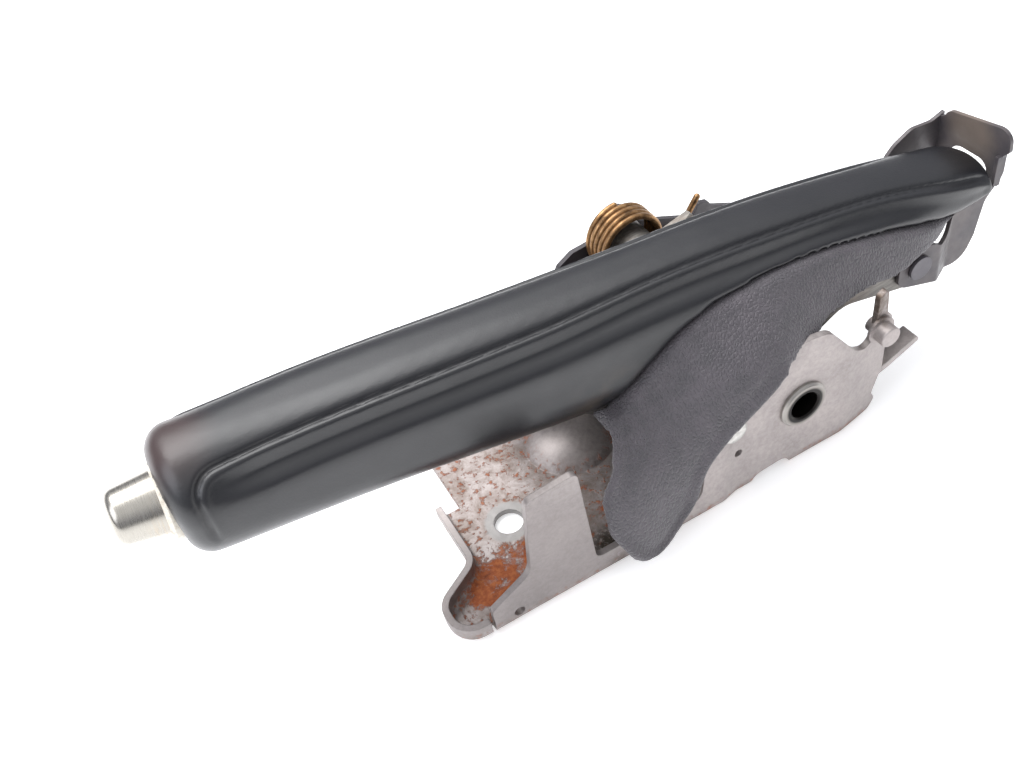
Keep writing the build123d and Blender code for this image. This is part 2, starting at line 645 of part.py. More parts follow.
def cable_segment():
    """Grooved segment that winds the brake cable up below the pivot."""
    y0, y1 = SEGMENT_Y
    middle = (y0 + y1) / 2
    r = SEGMENT_R
    groove = 2.6
    bore = BUSH_R + RUN
    disc = about_pivot([(bore, y0), (r, y0), (r, middle - groove), (r - groove, middle - groove / 2),
                        (r - groove, middle + groove / 2), (r, middle + groove), (r, y1), (bore, y1)])
    keep = outline(
        polar(13, 80), polar(r + 4, 38), polar(r + 8, 0), polar(r + 12, -40), polar(r + 14, -90),
        polar(r + 10, -140), polar(r + 6, 178), polar(20, 150),
    )
    segment = disc & (side(keep, y0, y1) + cross(PIVOT_X, PIVOT_Z, 13.5, y0, y1))
    x, z = polar(r - 5, 172)
    segment -= cross(x, z, 3.0, middle - 2.5, y1 + 1)
    x, z = polar(COIL_R, 180)
    segment -= cross(x, z, COIL_WIRE / 2 + 0.3, y1 - 5, y1 + 1)
    x, z = PAWL_STUD
    return segment + cross(x, z, 2.5, WHEEL_Y, y0 + 1) + cross(x, z, 4.5, y0, y1)


SEGMENT_Y = (WHEEL_Y + 3.5, WHEEL_Y + 13.5)
STUD_ANGLE = 0.0
PAWL_STUD = polar(WHEEL_R + 6.0, STUD_ANGLE)


def adjuster_pawl():
    """Small pawl on the segment's stud, riding just clear of the wheel's teeth."""
    x, z = PAWL_STUD
    a = STUD_ANGLE
    nose = outline(
        polar(WHEEL_R + 0.35, a + 26), polar(WHEEL_R + 0.6, a + 14), (x - 3, z + 1), (x + 3, z),
        polar(WHEEL_R + 8, a + 8), polar(WHEEL_R + 3.4, a + 28),
    )
    body = side(nose, WHEEL_Y + 0.2, WHEEL_Y + 3) + cross(x, z, 4.6, WHEEL_Y + 0.2, WHEEL_Y + 3)
    return body - cross(x, z, 2.5 + RUN, WHEEL_Y - 1, WHEEL_Y + 4)


def spring_hub():
    """Bright sleeve on the pivot tube inside the torsion spring."""
    sleeve = cross(PIVOT_X, PIVOT_Z, 8.8, HUB_Y, FAR_WALL)
    sleeve = chamfer(sleeve.edges().sort_by(Axis.Y)[0], 0.6)
    return sleeve - cross(PIVOT_X, PIVOT_Z, TUBE_R, HUB_Y - 1, FAR_WALL + 1)


def adjuster_spring():
    """Torsion spring: one leg in the segment, the other hooked over the outer wall's notch."""
    wire = COIL_WIRE / 2
    pitch = COIL_WIRE + 0.1
    y1 = FAR_WALL - wire - 0.3
    y0 = y1 - COIL_TURNS * pitch
    plane = Plane(origin=(PIVOT_X, y0, PIVOT_Z), x_dir=(-1, 0, 0), z_dir=(0, 1, 0))
    spring = coil(COIL_R, COIL_WIRE, COIL_TURNS, pitch, plane, left=True)
    x, z = polar(COIL_R, 180)
    spring += cross(x, z, wire, SEGMENT_Y[1] - 4, y0)
    spring += Pos(x, y0, z) * Sphere(wire)
    knee = (HOOK_X - 9, PIVOT_Z - COIL_R)
    low = Vector(PIVOT_X, y1, PIVOT_Z - COIL_R)
    bend = Vector(knee[0], y1, knee[1])
    end = Vector(HOOK_X, y1, knee[1] + 12.0)
    for a, b in ((low, bend), (bend, end)):
        run = Edge.make_line(a, b)
        spring += sweep(Plane(origin=a, z_dir=b - a) * Circle(wire), path=run)
        spring += Pos(*a) * Sphere(wire)
    return spring


HOOK_X = 141.5


colours = {
    "zinc": 0xB9B4AE, "black": 0x2C2B2D, "steel": 0x8F8D8B, "skin": 0x22232A, "grain": 0x3A3A40,
    "chrome": 0xD8D8D6, "bronze": 0x9A7B55, "plastic": 0x55565A,
}

whole_grip = grip_body()
upper = grip(whole_grip)
pieces = [
    ("base_bracket", base_bracket(), "zinc"),
    ("far_support", far_support(), "black"),
    ("floor_rivets", channel_rivets(), "steel"),
    ("pivot_tube", pivot_tube(), "steel"),
    ("stop_pin", stop_pin(), "chrome"),
    ("ratchet_sector", ratchet_sector(), "steel"),
    ("cable_peg", cable_peg(), "zinc"),
    ("spring_hub", spring_hub(), "steel"),
    ("adjuster_spring", adjuster_spring(), "bronze"),
    ("lever_fork", lever_fork(), "steel"),
    ("lever_tube", lever_tube(), "steel"),
    ("near_bush", near_bush(), "steel"),
    ("far_bush", far_bush(), "steel"),
    ("drive_wheel", drive_wheel(), "steel"),
    ("pawl_pin", cross_pin(PAWL_X, PAWL_Z, PAWL_PIN_R), "steel"),
    ("pawl_spacers", Compound([pawl_spacer(-1), pawl_spacer(1)]), "plastic"),
    ("tail_pin", tail_pin(), "zinc"),
    ("rod_guide", rod_guide(), "plastic"),
    ("button_collar", button_collar(), "chrome"),
    ("grip", upper, "skin"),
    ("skirt", skirt(whole_grip, upper), "grain"),
    ("push_button", push_button(), "chrome"),
    ("release_rod", release_rod(), "steel"),
    ("button_spring", button_spring(), "steel"),
    ("pawl", pawl(), "steel"),
    ("cable_segment", cable_segment(), "steel"),
    ("adjuster_pawl", adjuster_pawl(), "steel"),
    ("tail_cover", tail_cover(), "black"),
]
for name, shape, colour in pieces:
    print(f"{name:18s} solids {len(shape.solids())}  volume {shape.volume:9.0f}")
    save(name, shape, colours[colour])
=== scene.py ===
"""Looks of a car's parking-brake lever: soft covers, metals, table, light and camera."""

import math

import bmesh
import bpy
import numpy as np
from mathutils import Matrix


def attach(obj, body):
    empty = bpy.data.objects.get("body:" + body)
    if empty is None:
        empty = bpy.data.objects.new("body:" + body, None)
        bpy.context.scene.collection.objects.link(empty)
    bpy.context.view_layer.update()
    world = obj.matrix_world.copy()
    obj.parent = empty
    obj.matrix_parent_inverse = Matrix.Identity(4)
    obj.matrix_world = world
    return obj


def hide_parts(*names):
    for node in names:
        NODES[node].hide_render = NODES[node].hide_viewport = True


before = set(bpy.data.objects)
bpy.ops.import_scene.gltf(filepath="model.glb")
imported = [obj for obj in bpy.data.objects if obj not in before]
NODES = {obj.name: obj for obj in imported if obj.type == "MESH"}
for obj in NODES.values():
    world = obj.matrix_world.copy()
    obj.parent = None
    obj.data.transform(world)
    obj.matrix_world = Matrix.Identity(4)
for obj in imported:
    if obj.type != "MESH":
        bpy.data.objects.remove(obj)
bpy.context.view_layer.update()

MM = 0.001

# camera

EYE = (-0.07028, -0.23194, 0.32147)
RIGHT = (0.866299, -0.475977, -0.151564)
DOWN = (-0.441135, -0.586618, -0.679175)
AHEAD = (0.234361, 0.655229, -0.718157)
FOCAL_PIXELS = 1100.0
IMAGE_WIDTH = 1024.0
SENSOR = 36.0


def make_camera():
    data = bpy.data.cameras.new("camera")
    data.sensor_width = SENSOR
    data.lens = FOCAL_PIXELS * SENSOR / IMAGE_WIDTH
    data.clip_start = 0.01
    camera = bpy.data.objects.new("camera", data)
    bpy.context.scene.collection.objects.link(camera)
    place = Matrix.Identity(4)
    for row in range(3):
        place[row][0] = RIGHT[row]
        place[row][1] = -DOWN[row]
        place[row][2] = -AHEAD[row]
        place[row][3] = EYE[row]
    camera.matrix_world = place
    bpy.context.scene.camera = camera


# material helpers


def linear(hex_colour):
    """An sRGB hex colour as linear RGBA."""
    parts = [int(hex_colour[i : i + 2], 16) / 255 for i in (1, 3, 5)]
    return tuple(c / 12.92 if c <= 0.04045 else ((c + 0.055) / 1.055) ** 2.4 for c in parts) + (1.0,)


def add(tree, kind, sockets=(), stops=(), **settings):
    """One node: its settings, each input's constant, hex colour or linked output, and a ramp's stops."""
    node = tree.nodes.new(kind)
    for name, value in settings.items():
        setattr(node, name, value)
    for key, value in dict(sockets).items():
        if isinstance(value, bpy.types.NodeSocket):
            tree.links.new(value, node.inputs[key])
        else:
            node.inputs[key].default_value = linear(value) if isinstance(value, str) else value
    for index, (position, tone) in enumerate(stops):
        elements = node.color_ramp.elements
        element = elements[index] if index < 2 else elements.new(position)
        element.position = position
        element.color = linear(tone) if isinstance(tone, str) else (tone, tone, tone, 1.0)
    return node


def start_material(name, **shader):
    """A fresh material with its shader, and the Object coordinates in metres."""
    material = bpy.data.materials.new(name)
    material.use_nodes = True
    tree = material.node_tree
    tree.nodes.clear()
    surface = add(tree, "ShaderNodeBsdfPrincipled", shader)
    output = add(tree, "ShaderNodeOutputMaterial")
    tree.links.new(surface.outputs["BSDF"], output.inputs["Surface"])
    place = add(tree, "ShaderNodeTexCoord").outputs["Object"]
    return material, tree, surface, place


def per_metre(size_mm):
    """Texture scale whose features are about size_mm across."""
    return 1.0 / (size_mm * MM)


def near(tree, place, centre_mm, reach_mm, soft_mm, squeeze=(1.0, 1.0, 1.0)):
    """1 close to a point of the object, fading to 0 over soft_mm beyond reach_mm."""
    shift = add(
        tree,
        "ShaderNodeVectorMath",
        {0: place, 1: [c * MM for c in centre_mm]},
        operation="SUBTRACT",
    )
    scaled = add(tree, "ShaderNodeVectorMath", {0: shift.outputs[0], 1: squeeze}, operation="MULTIPLY")
    length = add(tree, "ShaderNodeVectorMath", {0: scaled.outputs[0]}, operation="LENGTH")
    fade = add(
        tree,
        "ShaderNodeMapRange",
        {0: length.outputs["Value"], 1: reach_mm * MM, 2: (reach_mm + soft_mm) * MM, 3: 1.0, 4: 0.0},
        interpolation_type="SMOOTHSTEP",
    )
    return fade.outputs[0]


# materials


def galvanised_sheet():
    """Zinc-coated pressed steel: warm light grey, mottled, with pitted rust where water has stood."""
    material, tree, surface, place = start_material("galvanised_steel_sheet", Metallic=0.55)
    cloud = add(
        tree,
        "ShaderNodeTexNoise",
        {"Vector": place, "Scale": per_metre(22), "Detail": 4, "Roughness": 0.6},
    ).outputs["Fac"]
    speck = add(
        tree,
        "ShaderNodeTexNoise",
        {"Vector": place, "Scale": per_metre(1.6), "Detail": 4, "Roughness": 0.7},
    ).outputs["Fac"]
    tone = add(
        tree,
        "ShaderNodeValToRGB",
        {"Fac": cloud},
        stops=[(0.3, "#8f8886"), (0.5, "#a39b99"), (0.72, "#b3aaa7")],
    ).outputs["Color"]
    fine = add(
        tree,
        "ShaderNodeValToRGB",
        {"Fac": speck},
        stops=[(0.35, "#8d8582"), (0.65, "#c2bab7")],
    ).outputs["Color"]
    colour = add(tree, "ShaderNodeMix", {0: 0.35, 6: tone, 7: fine}, data_type="RGBA").outputs[2]

    # rust: on the floor only, heavy beside the tab's foot, scattered specks elsewhere
    height = add(tree, "ShaderNodeSeparateXYZ", {0: place}).outputs["Z"]
    low = add(tree, "ShaderNodeMapRange", {0: height, 1: 0.0031, 2: 0.0065, 3: 1.0, 4: 0.0}).outputs[0]
    heavy = near(tree, place, (-15, -19, 2.4), 5, 13, (0.85, 1.1, 1.0))
    for centre, reach, soft in (
        ((-3, -17, 2.4), 4, 7),
        ((51, 13, 2.4), 1, 6),
        ((33, -14, 2.4), 0, 6),
        ((20, 36, 2.4), 0, 7),
    ):
        heavy = add(
            tree,
            "ShaderNodeMath",
            {0: heavy, 1: near(tree, place, centre, reach, soft)},
            operation="MAXIMUM",
        ).outputs[0]
    ring = near(tree, place, (0, 0, 2.4), 8.2, 1.6)
    patch = add(
        tree,
        "ShaderNodeTexNoise",
        {"Vector": place, "Scale": per_metre(9), "Detail": 6, "Roughness": 0.72, "Distortion": 0.4},
    ).outputs["Fac"]
    spread = add(
        tree,
        "ShaderNodeMath",
        {0: patch, 1: add(tree, "ShaderNodeMath", {0: heavy, 1: 0.24}, operation="MULTIPLY").outputs[0]},
        operation="ADD",
    ).outputs[0]
    solid = add(
        tree,
        "ShaderNodeValToRGB",
        {"Fac": spread},
        stops=[(0.62, 0.0), (0.7, 1.0)],
    ).outputs["Color"]
    dots = add(
        tree,
        "ShaderNodeTexNoise",
        {"Vector": place, "Scale": per_metre(2.3), "Detail": 4, "Roughness": 0.62},
    ).outputs["Fac"]
    scatter = add(
        tree,
        "ShaderNodeValToRGB",
        {
            "Fac": add(
                tree,
                "ShaderNodeMath",
                {
                    0: dots,
                    1: add(tree, "ShaderNodeMath", {0: heavy, 1: 0.14}, operation="MULTIPLY").outputs[0],
                },
                operation="ADD",
            ).outputs[0],
        },
        stops=[(0.55, 0.0), (0.66, 0.8)],
    ).outputs["Color"]
    mask = add(tree, "ShaderNodeMath", {0: solid, 1: scatter}, operation="MAXIMUM").outputs[0]
    mask = add(tree, "ShaderNodeMath", {0: mask, 1: low}, operation="MULTIPLY").outputs[0]
    mask = add(
        tree,
        "ShaderNodeMath",
        {0: mask, 1: add(tree, "ShaderNodeMath", {0: 1.0, 1: ring}, operation="SUBTRACT").outputs[0]},
        operation="MULTIPLY",
    ).outputs[0]
    rust = add(
        tree,
        "ShaderNodeValToRGB",
        {
            "Fac": add(
                tree,
                "ShaderNodeTexNoise",
                {"Vector": place, "Scale": per_metre(2.4), "Detail": 5, "Roughness": 0.7},
            ).outputs["Fac"],
        },
        stops=[(0.25, "#552c1a"), (0.48, "#964e29"), (0.62, "#ad6436"), (0.8, "#7a4630")],
    ).outputs["Color"]
    # floor patches in a darker pinkish brown: partly the sheet's own tint, partly painted shade that
    # darkens the upward-facing floor
    floor_tint_and_shade = add(
        tree,
        "ShaderNodeMath",
        {
            0: add(tree, "ShaderNodeMath", {0: low, 1: 0.85}, operation="MULTIPLY").outputs[0],
            1: add(
                tree,
                "ShaderNodeValToRGB",
                {"Fac": patch},
                stops=[(0.35, 0.0), (0.6, 1.0)],
            ).outputs["Color"],
        },
        operation="MULTIPLY",
    ).outputs[0]
    colour = add(tree, "ShaderNodeMix", {0: floor_tint_and_shade, 6: colour, 7: "#766860"}, data_type="RGBA").outputs[2]
    colour = add(
        tree,
        "ShaderNodeMix",
        {
            0: add(tree, "ShaderNodeMath", {0: ring, 1: low}, operation="MULTIPLY").outputs[0],
            6: colour,
            7: "#8d8a88",
        },
        data_type="RGBA",
    ).outputs[2]
    colour = add(tree, "ShaderNodeMix", {0: mask, 6: colour, 7: rust}, data_type="RGBA").outputs[2]

    # painted shade: the front of the near wall darkened towards #6b6564, on the walls only
    front_wall_shade = add(
        tree,
        "ShaderNodeMath",
        {0: near(tree, place, (-6, -24, 24), 22, 26), 1: 0.45},
        operation="MULTIPLY",
    ).outputs[0]
    colour = add(
        tree,
        "ShaderNodeMix",
        {
            0: add(
                tree,
                "ShaderNodeMath",
                {
                    0: front_wall_shade,
                    1: add(tree, "ShaderNodeMath", {0: 1.0, 1: low}, operation="SUBTRACT").outputs[0],
                },
                operation="MULTIPLY",
            ).outputs[0],
            6: colour,
            7: "#6b6564",
        },
        data_type="RGBA",
    ).outputs[2]

    # the corner under the skirt darkened to dark brown in noisy patches, and painted shade on the horn and
    # the tongue at the rear
    corner_dark_patch = near(tree, place, (25, -30, 3), 3, 9)
    corner_dark_patch = add(
        tree,
        "ShaderNodeMath",
        {
            0: corner_dark_patch,
            1: add(
                tree,
                "ShaderNodeValToRGB",
                {
                    "Fac": add(
                        tree,
                        "ShaderNodeTexNoise",
                        {"Vector": place, "Scale": per_metre(2.2), "Detail": 4, "Roughness": 0.8},
                    ).outputs["Fac"],
                },
                stops=[(0.38, 0.0), (0.5, 1.0)],
            ).outputs["Color"],
        },
        operation="MULTIPLY",
    ).outputs[0]
    colour = add(tree, "ShaderNodeMix", {0: corner_dark_patch, 6: colour, 7: "#332b20"}, data_type="RGBA").outputs[2]
    # painted shade: the horn above the peg, and at half strength the tongue behind it, darkened to brown in
    # noisy patches
    stain_and_shade = add(
        tree,
        "ShaderNodeMath",
        {
            0: near(tree, place, (136, -31, 55), 5, 7),
            1: add(
                tree,
                "ShaderNodeMath",
                {0: near(tree, place, (152, -30, 33), 4, 5), 1: 0.5},
                operation="MULTIPLY",
            ).outputs[0],
        },
        operation="MAXIMUM",
    ).outputs[0]
    stain_and_shade = add(
        tree,
        "ShaderNodeMath",
        {
            0: stain_and_shade,
            1: add(
                tree,
                "ShaderNodeValToRGB",
                {
                    "Fac": add(
                        tree,
                        "ShaderNodeTexNoise",
                        {"Vector": place, "Scale": per_metre(4), "Detail": 4, "Roughness": 0.7},
                    ).outputs["Fac"],
                },
                stops=[(0.3, 0.2), (0.6, 0.9)],
            ).outputs["Color"],
        },
        operation="MULTIPLY",
    ).outputs[0]
    colour = add(tree, "ShaderNodeMix", {0: stain_and_shade, 6: colour, 7: "#5a4a3c"}, data_type="RGBA").outputs[2]
    tree.links.new(colour, surface.inputs["Base Color"])
    dull = add(tree, "ShaderNodeMath", {0: mask, 1: corner_dark_patch}, operation="MAXIMUM").outputs[0]
    rough = add(
        tree,
        "ShaderNodeMath",
        {
            0: add(tree, "ShaderNodeMath", {0: dull, 1: 0.35}, operation="MULTIPLY").outputs[0],
            1: add(
                tree,
                "ShaderNodeValToRGB",
                {"Fac": speck},
                stops=[(0.3, 0.4), (0.7, 0.54)],
            ).outputs["Color"],
        },
        operation="ADD",
    ).outputs[0]
    tree.links.new(rough, surface.inputs["Roughness"])
    tree.links.new(
        add(
            tree,
            "ShaderNodeMath",
            {
                0: 0.55,
                1: add(tree, "ShaderNodeMath", {0: dull, 1: 0.55}, operation="MULTIPLY").outputs[0],
            },
            operation="SUBTRACT",
        ).outputs[0],
        surface.inputs["Metallic"],
    )
    relief = add(
        tree,
        "ShaderNodeMath",
        {
            0: add(tree, "ShaderNodeMath", {0: speck, 1: 0.25}, operation="MULTIPLY").outputs[0],
            1: add(
                tree,
                "ShaderNodeMath",
                {0: mask, 1: add(tree, "ShaderNodeMath", {0: dots, 1: 0.6}, operation="ADD").outputs[0]},
                operation="MULTIPLY",
            ).outputs[0],
        },
        operation="ADD",
    ).outputs[0]
    tree.links.new(
        add(
            tree,
            "ShaderNodeBump",
            {
                "Height": relief,
                "Distance": 0.18 * MM,
                "Strength": 0.8,
                "Normal": add(tree, "ShaderNodeBevel", {"Radius": 0.5 * MM}, samples=4).outputs["Normal"],
            },
        ).outputs["Normal"],
        surface.inputs["Normal"],
    )
    return material


def black_coat(name, dark, pale):
    """Black electro-coated steel: even satin black-brown, rubbed to a paler tone where hands wipe it."""
    material, tree, surface, place = start_material(name, Metallic=0.15)
    cloud = add(
        tree,
        "ShaderNodeTexNoise",
        {"Vector": place, "Scale": per_metre(16), "Detail": 4, "Roughness": 0.6},
    ).outputs["Fac"]
    colour = add(
        tree,
        "ShaderNodeValToRGB",
        {"Fac": cloud},
        stops=[(0.3, dark), (0.72, pale)],
    ).outputs["Color"]
    rubbed = near(tree, place, (206, 3, 73), 4, 12)
    colour = add(
        tree,
        "ShaderNodeMix",
        {
            0: add(tree, "ShaderNodeMath", {0: rubbed, 1: 0.55}, operation="MULTIPLY").outputs[0],
            6: colour,
            7: "#8f7f70",
        },
        data_type="RGBA",
    ).outputs[2]
    tree.links.new(colour, surface.inputs["Base Color"])
    tree.links.new(
        add(
            tree,
            "ShaderNodeValToRGB",
            {
                "Fac": add(
                    tree,
                    "ShaderNodeTexNoise",
                    {"Vector": place, "Scale": per_metre(3), "Detail": 3, "Roughness": 0.55},
                ).outputs["Fac"],
            },
            stops=[(0.3, 0.34), (0.7, 0.5)],
        ).outputs["Color"],
        surface.inputs["Roughness"],
    )
    tree.links.new(
        add(
            tree,
            "ShaderNodeBump",
            {
                "Height": add(
                    tree,
                    "ShaderNodeTexNoise",
                    {"Vector": place, "Scale": per_metre(1.2), "Detail": 3, "Roughness": 0.55},
                ).outputs["Fac"],
                "Distance": 0.04 * MM,
                "Strength": 0.6,
                "Normal": add(
                    tree,
                    "ShaderNodeBevel",
                    {"Radius": 0.35 * MM},
                    samples=4,
                ).outputs["Normal"],
            },
        ).outputs["Normal"],
        surface.inputs["Normal"],
    )
    return material


def plain_steel(name, dark, light, roughness):
    """Bare or lightly oiled steel: cool grey with faint drawn streaks along the part."""
    material, tree, surface, place = start_material(name, Metallic=0.85, Roughness=roughness)
    stretch = add(
        tree,
        "ShaderNodeVectorMath",
        {0: place, 1: (0.15, 1.0, 1.0)},
        operation="MULTIPLY",
    ).outputs[0]
    # drawing marks are about 0.1 mm wide; drawn at 0.9 mm so that they show
    streak = add(
        tree,
        "ShaderNodeTexNoise",
        {"Vector": stretch, "Scale": per_metre(0.9), "Detail": 3, "Roughness": 0.55},
    ).outputs["Fac"]
    colour = add(
        tree,
        "ShaderNodeValToRGB",
        {"Fac": streak},
        stops=[(0.3, dark), (0.7, light)],
    ).outputs["Color"]
    cloud = add(
        tree,
        "ShaderNodeTexNoise",
        {"Vector": place, "Scale": per_metre(12), "Detail": 4, "Roughness": 0.6},
    ).outputs["Fac"]
    colour = add(
        tree,
        "ShaderNodeMix",
        {
            0: add(
                tree,
                "ShaderNodeMath",
                {
                    0: add(
                        tree,
                        "ShaderNodeValToRGB",
                        {"Fac": cloud},
                        stops=[(0.45, 0.0), (0.75, 1.0)],
                    ).outputs["Color"],
                    1: 0.35,
                },
                operation="MULTIPLY",
            ).outputs[0],
            6: colour,
            7: "#7d6a5a",
        },
        data_type="RGBA",
    ).outputs[2]
    tree.links.new(colour, surface.inputs["Base Color"])
    tree.links.new(
        add(
            tree,
            "ShaderNodeBump",
            {
                "Height": streak,
                "Distance": 0.03 * MM,
                "Strength": 0.6,
                "Normal": add(
                    tree,
                    "ShaderNodeBevel",
                    {"Radius": 0.25 * MM},
                    samples=4,
                ).outputs["Normal"],
            },
        ).outputs["Normal"],
        surface.inputs["Normal"],
    )
    return material


def formed_head():
    """A riveted-over steel head: bright, lumpy from the forming tool."""
    material, tree, surface, place = start_material("formed_rivet_steel", Metallic=0.9, Roughness=0.32)
    lump = add(
        tree,
        "ShaderNodeTexNoise",
        {"Vector": place, "Scale": per_metre(3.0), "Detail": 2, "Roughness": 0.55},
    ).outputs["Fac"]
    tree.links.new(
        add(
            tree,
            "ShaderNodeValToRGB",
            {"Fac": lump},
            stops=[(0.3, "#9b9894"), (0.7, "#d8d6d2")],
        ).outputs["Color"],
        surface.inputs["Base Color"],
    )
    tree.links.new(
        add(
            tree,
            "ShaderNodeBump",
            {"Height": lump, "Distance": 0.9 * MM, "Strength": 0.8},
        ).outputs["Normal"],
        surface.inputs["Normal"],
    )
    return material


def flared_tube():
    """Flared steel tube: a bright rubbed lip, and a bore painted nearly black as painted shade."""
    material, tree, surface, place = start_material("flared_tube_steel", Metallic=0.8, Roughness=0.4)
    from_axis = add(
        tree,
        "ShaderNodeVectorMath",
        {0: place, 1: (PIVOT_X * MM, 0.0, PIVOT_Z * MM)},
        operation="SUBTRACT",
    ).outputs[0]
    flat = add(
        tree,
        "ShaderNodeVectorMath",
        {0: from_axis, 1: (1.0, 0.0, 1.0)},
        operation="MULTIPLY",
    ).outputs[0]
    radius = add(tree, "ShaderNodeVectorMath", {0: flat}, operation="LENGTH").outputs["Value"]
    # painted shade: within 7 mm of the axis the bore is painted nearly black; beyond 7.8 mm the lip is
    # bright steel
    tone = add(
        tree,
        "ShaderNodeValToRGB",
        {"Fac": add(tree, "ShaderNodeMath", {0: radius, 1: 100.0}, operation="MULTIPLY").outputs[0]},
        stops=[(0.0, "#141211"), (0.7, "#1d1a18"), (0.78, "#8e8984"), (0.9, "#a9a5a0")],
    ).outputs["Color"]
    tree.links.new(tone, surface.inputs["Base Color"])
    tree.links.new(
        add(
            tree,
            "ShaderNodeBump",
            {
                "Height": add(
                    tree,
                    "ShaderNodeTexNoise",
                    {"Vector": place, "Scale": per_metre(1.5), "Detail": 3, "Roughness": 0.55},
                ).outputs["Fac"],
                "Distance": 0.05 * MM,
                "Strength": 0.5,
                "Normal": add(
                    tree,
                    "ShaderNodeBevel",
                    {"Radius": 0.25 * MM},
                    samples=4,
                ).outputs["Normal"],
            },
        ).outputs["Normal"],
        surface.inputs["Normal"],
    )
    return material


def satin_button():
    """Satin-turned aluminium: nearly white, with hair-fine rings round the button and a worn tan base."""
    material, tree, surface, place = start_material("turned_aluminium", Metallic=1.0)
    axis = add(
        tree,
        "ShaderNodeMapping",
        {"Vector": place, "Rotation": (0.0, math.radians(-8.0), 0.0)},
    ).outputs[0]
    hair = add(
        tree,
        "ShaderNodeVectorMath",
        {0: axis, 1: (1.0, 0.08, 0.08)},
        operation="MULTIPLY",
    ).outputs[0]
    # turning marks are under 0.1 mm apart; drawn at 0.35 mm so that they show
    rings = add(
        tree,
        "ShaderNodeTexNoise",
        {"Vector": hair, "Scale": per_metre(0.35), "Detail": 2, "Roughness": 0.55},
    ).outputs["Fac"]
    colour = add(
        tree,
        "ShaderNodeValToRGB",
        {"Fac": rings},
        stops=[(0.3, "#aaa69e"), (0.7, "#b4b0a8")],
    ).outputs["Color"]
    worn = near(tree, place, (-96, 0, 88), 9, 5)
    flecks = add(
        tree,
        "ShaderNodeValToRGB",
        {
            "Fac": add(
                tree,
                "ShaderNodeTexNoise",
                {"Vector": hair, "Scale": per_metre(0.9), "Detail": 4, "Roughness": 0.7},
            ).outputs["Fac"],
        },
        stops=[(0.45, 0.0), (0.62, 1.0)],
    ).outputs["Color"]
    colour = add(
        tree,
        "ShaderNodeMix",
        {
            0: add(
                tree,
                "ShaderNodeMath",
                {
                    0: add(tree, "ShaderNodeMath", {0: worn, 1: flecks}, operation="MULTIPLY").outputs[0],
                    1: 0.55,
                },
                operation="MULTIPLY",
            ).outputs[0],
            6: colour,
            7: "#b39f83",
        },
        data_type="RGBA",
    ).outputs[2]
    tree.links.new(colour, surface.inputs["Base Color"])
    tree.links.new(
        add(
            tree,
            "ShaderNodeValToRGB",
            {"Fac": rings},
            stops=[(0.3, 0.25), (0.7, 0.31)],
        ).outputs["Color"],
        surface.inputs["Roughness"],
    )
    tree.links.new(
        add(
            tree,
            "ShaderNodeBump",
            {"Height": rings, "Distance": 0.002 * MM, "Strength": 0.4},
        ).outputs["Normal"],
        surface.inputs["Normal"],
    )
    return material


def cream_collar():
    """Injection-moulded acetal ring: ivory white with a soft gloss and grime in its step."""
    material, tree, surface, place = start_material("acetal_ring", Roughness=0.35)
    grime = add(
        tree,
        "ShaderNodeTexNoise",
        {"Vector": place, "Scale": per_metre(2.0), "Detail": 4, "Roughness": 0.7},
    ).outputs["Fac"]
    tree.links.new(
        add(
            tree,
            "ShaderNodeValToRGB",
            {"Fac": grime},
            stops=[(0.3, "#b9ad9a"), (0.5, "#ddd6c8"), (0.8, "#ece7dc")],
        ).outputs["Color"],
        surface.inputs["Base Color"],
    )
    tree.links.new(
        add(
            tree,
            "ShaderNodeBump",
            {"Height": grime, "Distance": 0.03 * MM, "Strength": 0.4},
        ).outputs["Normal"],
        surface.inputs["Normal"],
    )
    return material


def spring_wire():
    """Copper-washed spring wire: brown bronze, dark in places where the wash has worn."""
    material, tree, surface, place = start_material("copper_washed_spring_wire", Metallic=0.9)
    wear = add(
        tree,
        "ShaderNodeTexNoise",
        {"Vector": place, "Scale": per_metre(5), "Detail": 5, "Roughness": 0.7},
    ).outputs["Fac"]
    colour = add(
        tree,
        "ShaderNodeValToRGB",
        {"Fac": wear},
        stops=[(0.3, "#4f3c2a"), (0.5, "#8d6c4a"), (0.75, "#c09a70")],
    ).outputs["Color"]
    tree.links.new(colour, surface.inputs["Base Color"])
    tree.links.new(
        add(tree, "ShaderNodeValToRGB", {"Fac": wear}, stops=[(0.3, 0.5), (0.7, 0.3)]).outputs["Color"],
        surface.inputs["Roughness"],
    )
    tree.links.new(
        add(
            tree,
            "ShaderNodeBump",
            {
                "Height": add(
                    tree,
                    "ShaderNodeTexNoise",
                    {"Vector": place, "Scale": per_metre(0.6), "Detail": 2, "Roughness": 0.55},
                ).outputs["Fac"],
                "Distance": 0.03 * MM,
                "Strength": 0.5,
            },
        ).outputs["Normal"],
        surface.inputs["Normal"],
    )
    return material


def moulded_nylon():
    """Natural nylon, injection moulded: milky, slightly waxy."""
    material, tree, surface, place = start_material("natural_nylon", Roughness=0.45)
    cloud = add(
        tree,
        "ShaderNodeTexNoise",
        {"Vector": place, "Scale": per_metre(8), "Detail": 2, "Roughness": 0.55},
    ).outputs["Fac"]
    tree.links.new(
        add(
            tree,
            "ShaderNodeValToRGB",
            {"Fac": cloud},
            stops=[(0.3, "#cfc8b6"), (0.7, "#ddd7c8")],
        ).outputs["Color"],
        surface.inputs["Base Color"],
    )
    surface.inputs["Subsurface Weight"].default_value = 0.1
    surface.inputs["Subsurface Radius"].default_value = (0.002, 0.002, 0.0015)
    tree.links.new(
        add(
            tree,
            "ShaderNodeBump",
            {"Height": cloud, "Distance": 0.02 * MM, "Strength": 0.3},
        ).outputs["Normal"],
        surface.inputs["Normal"],
    )
    return material


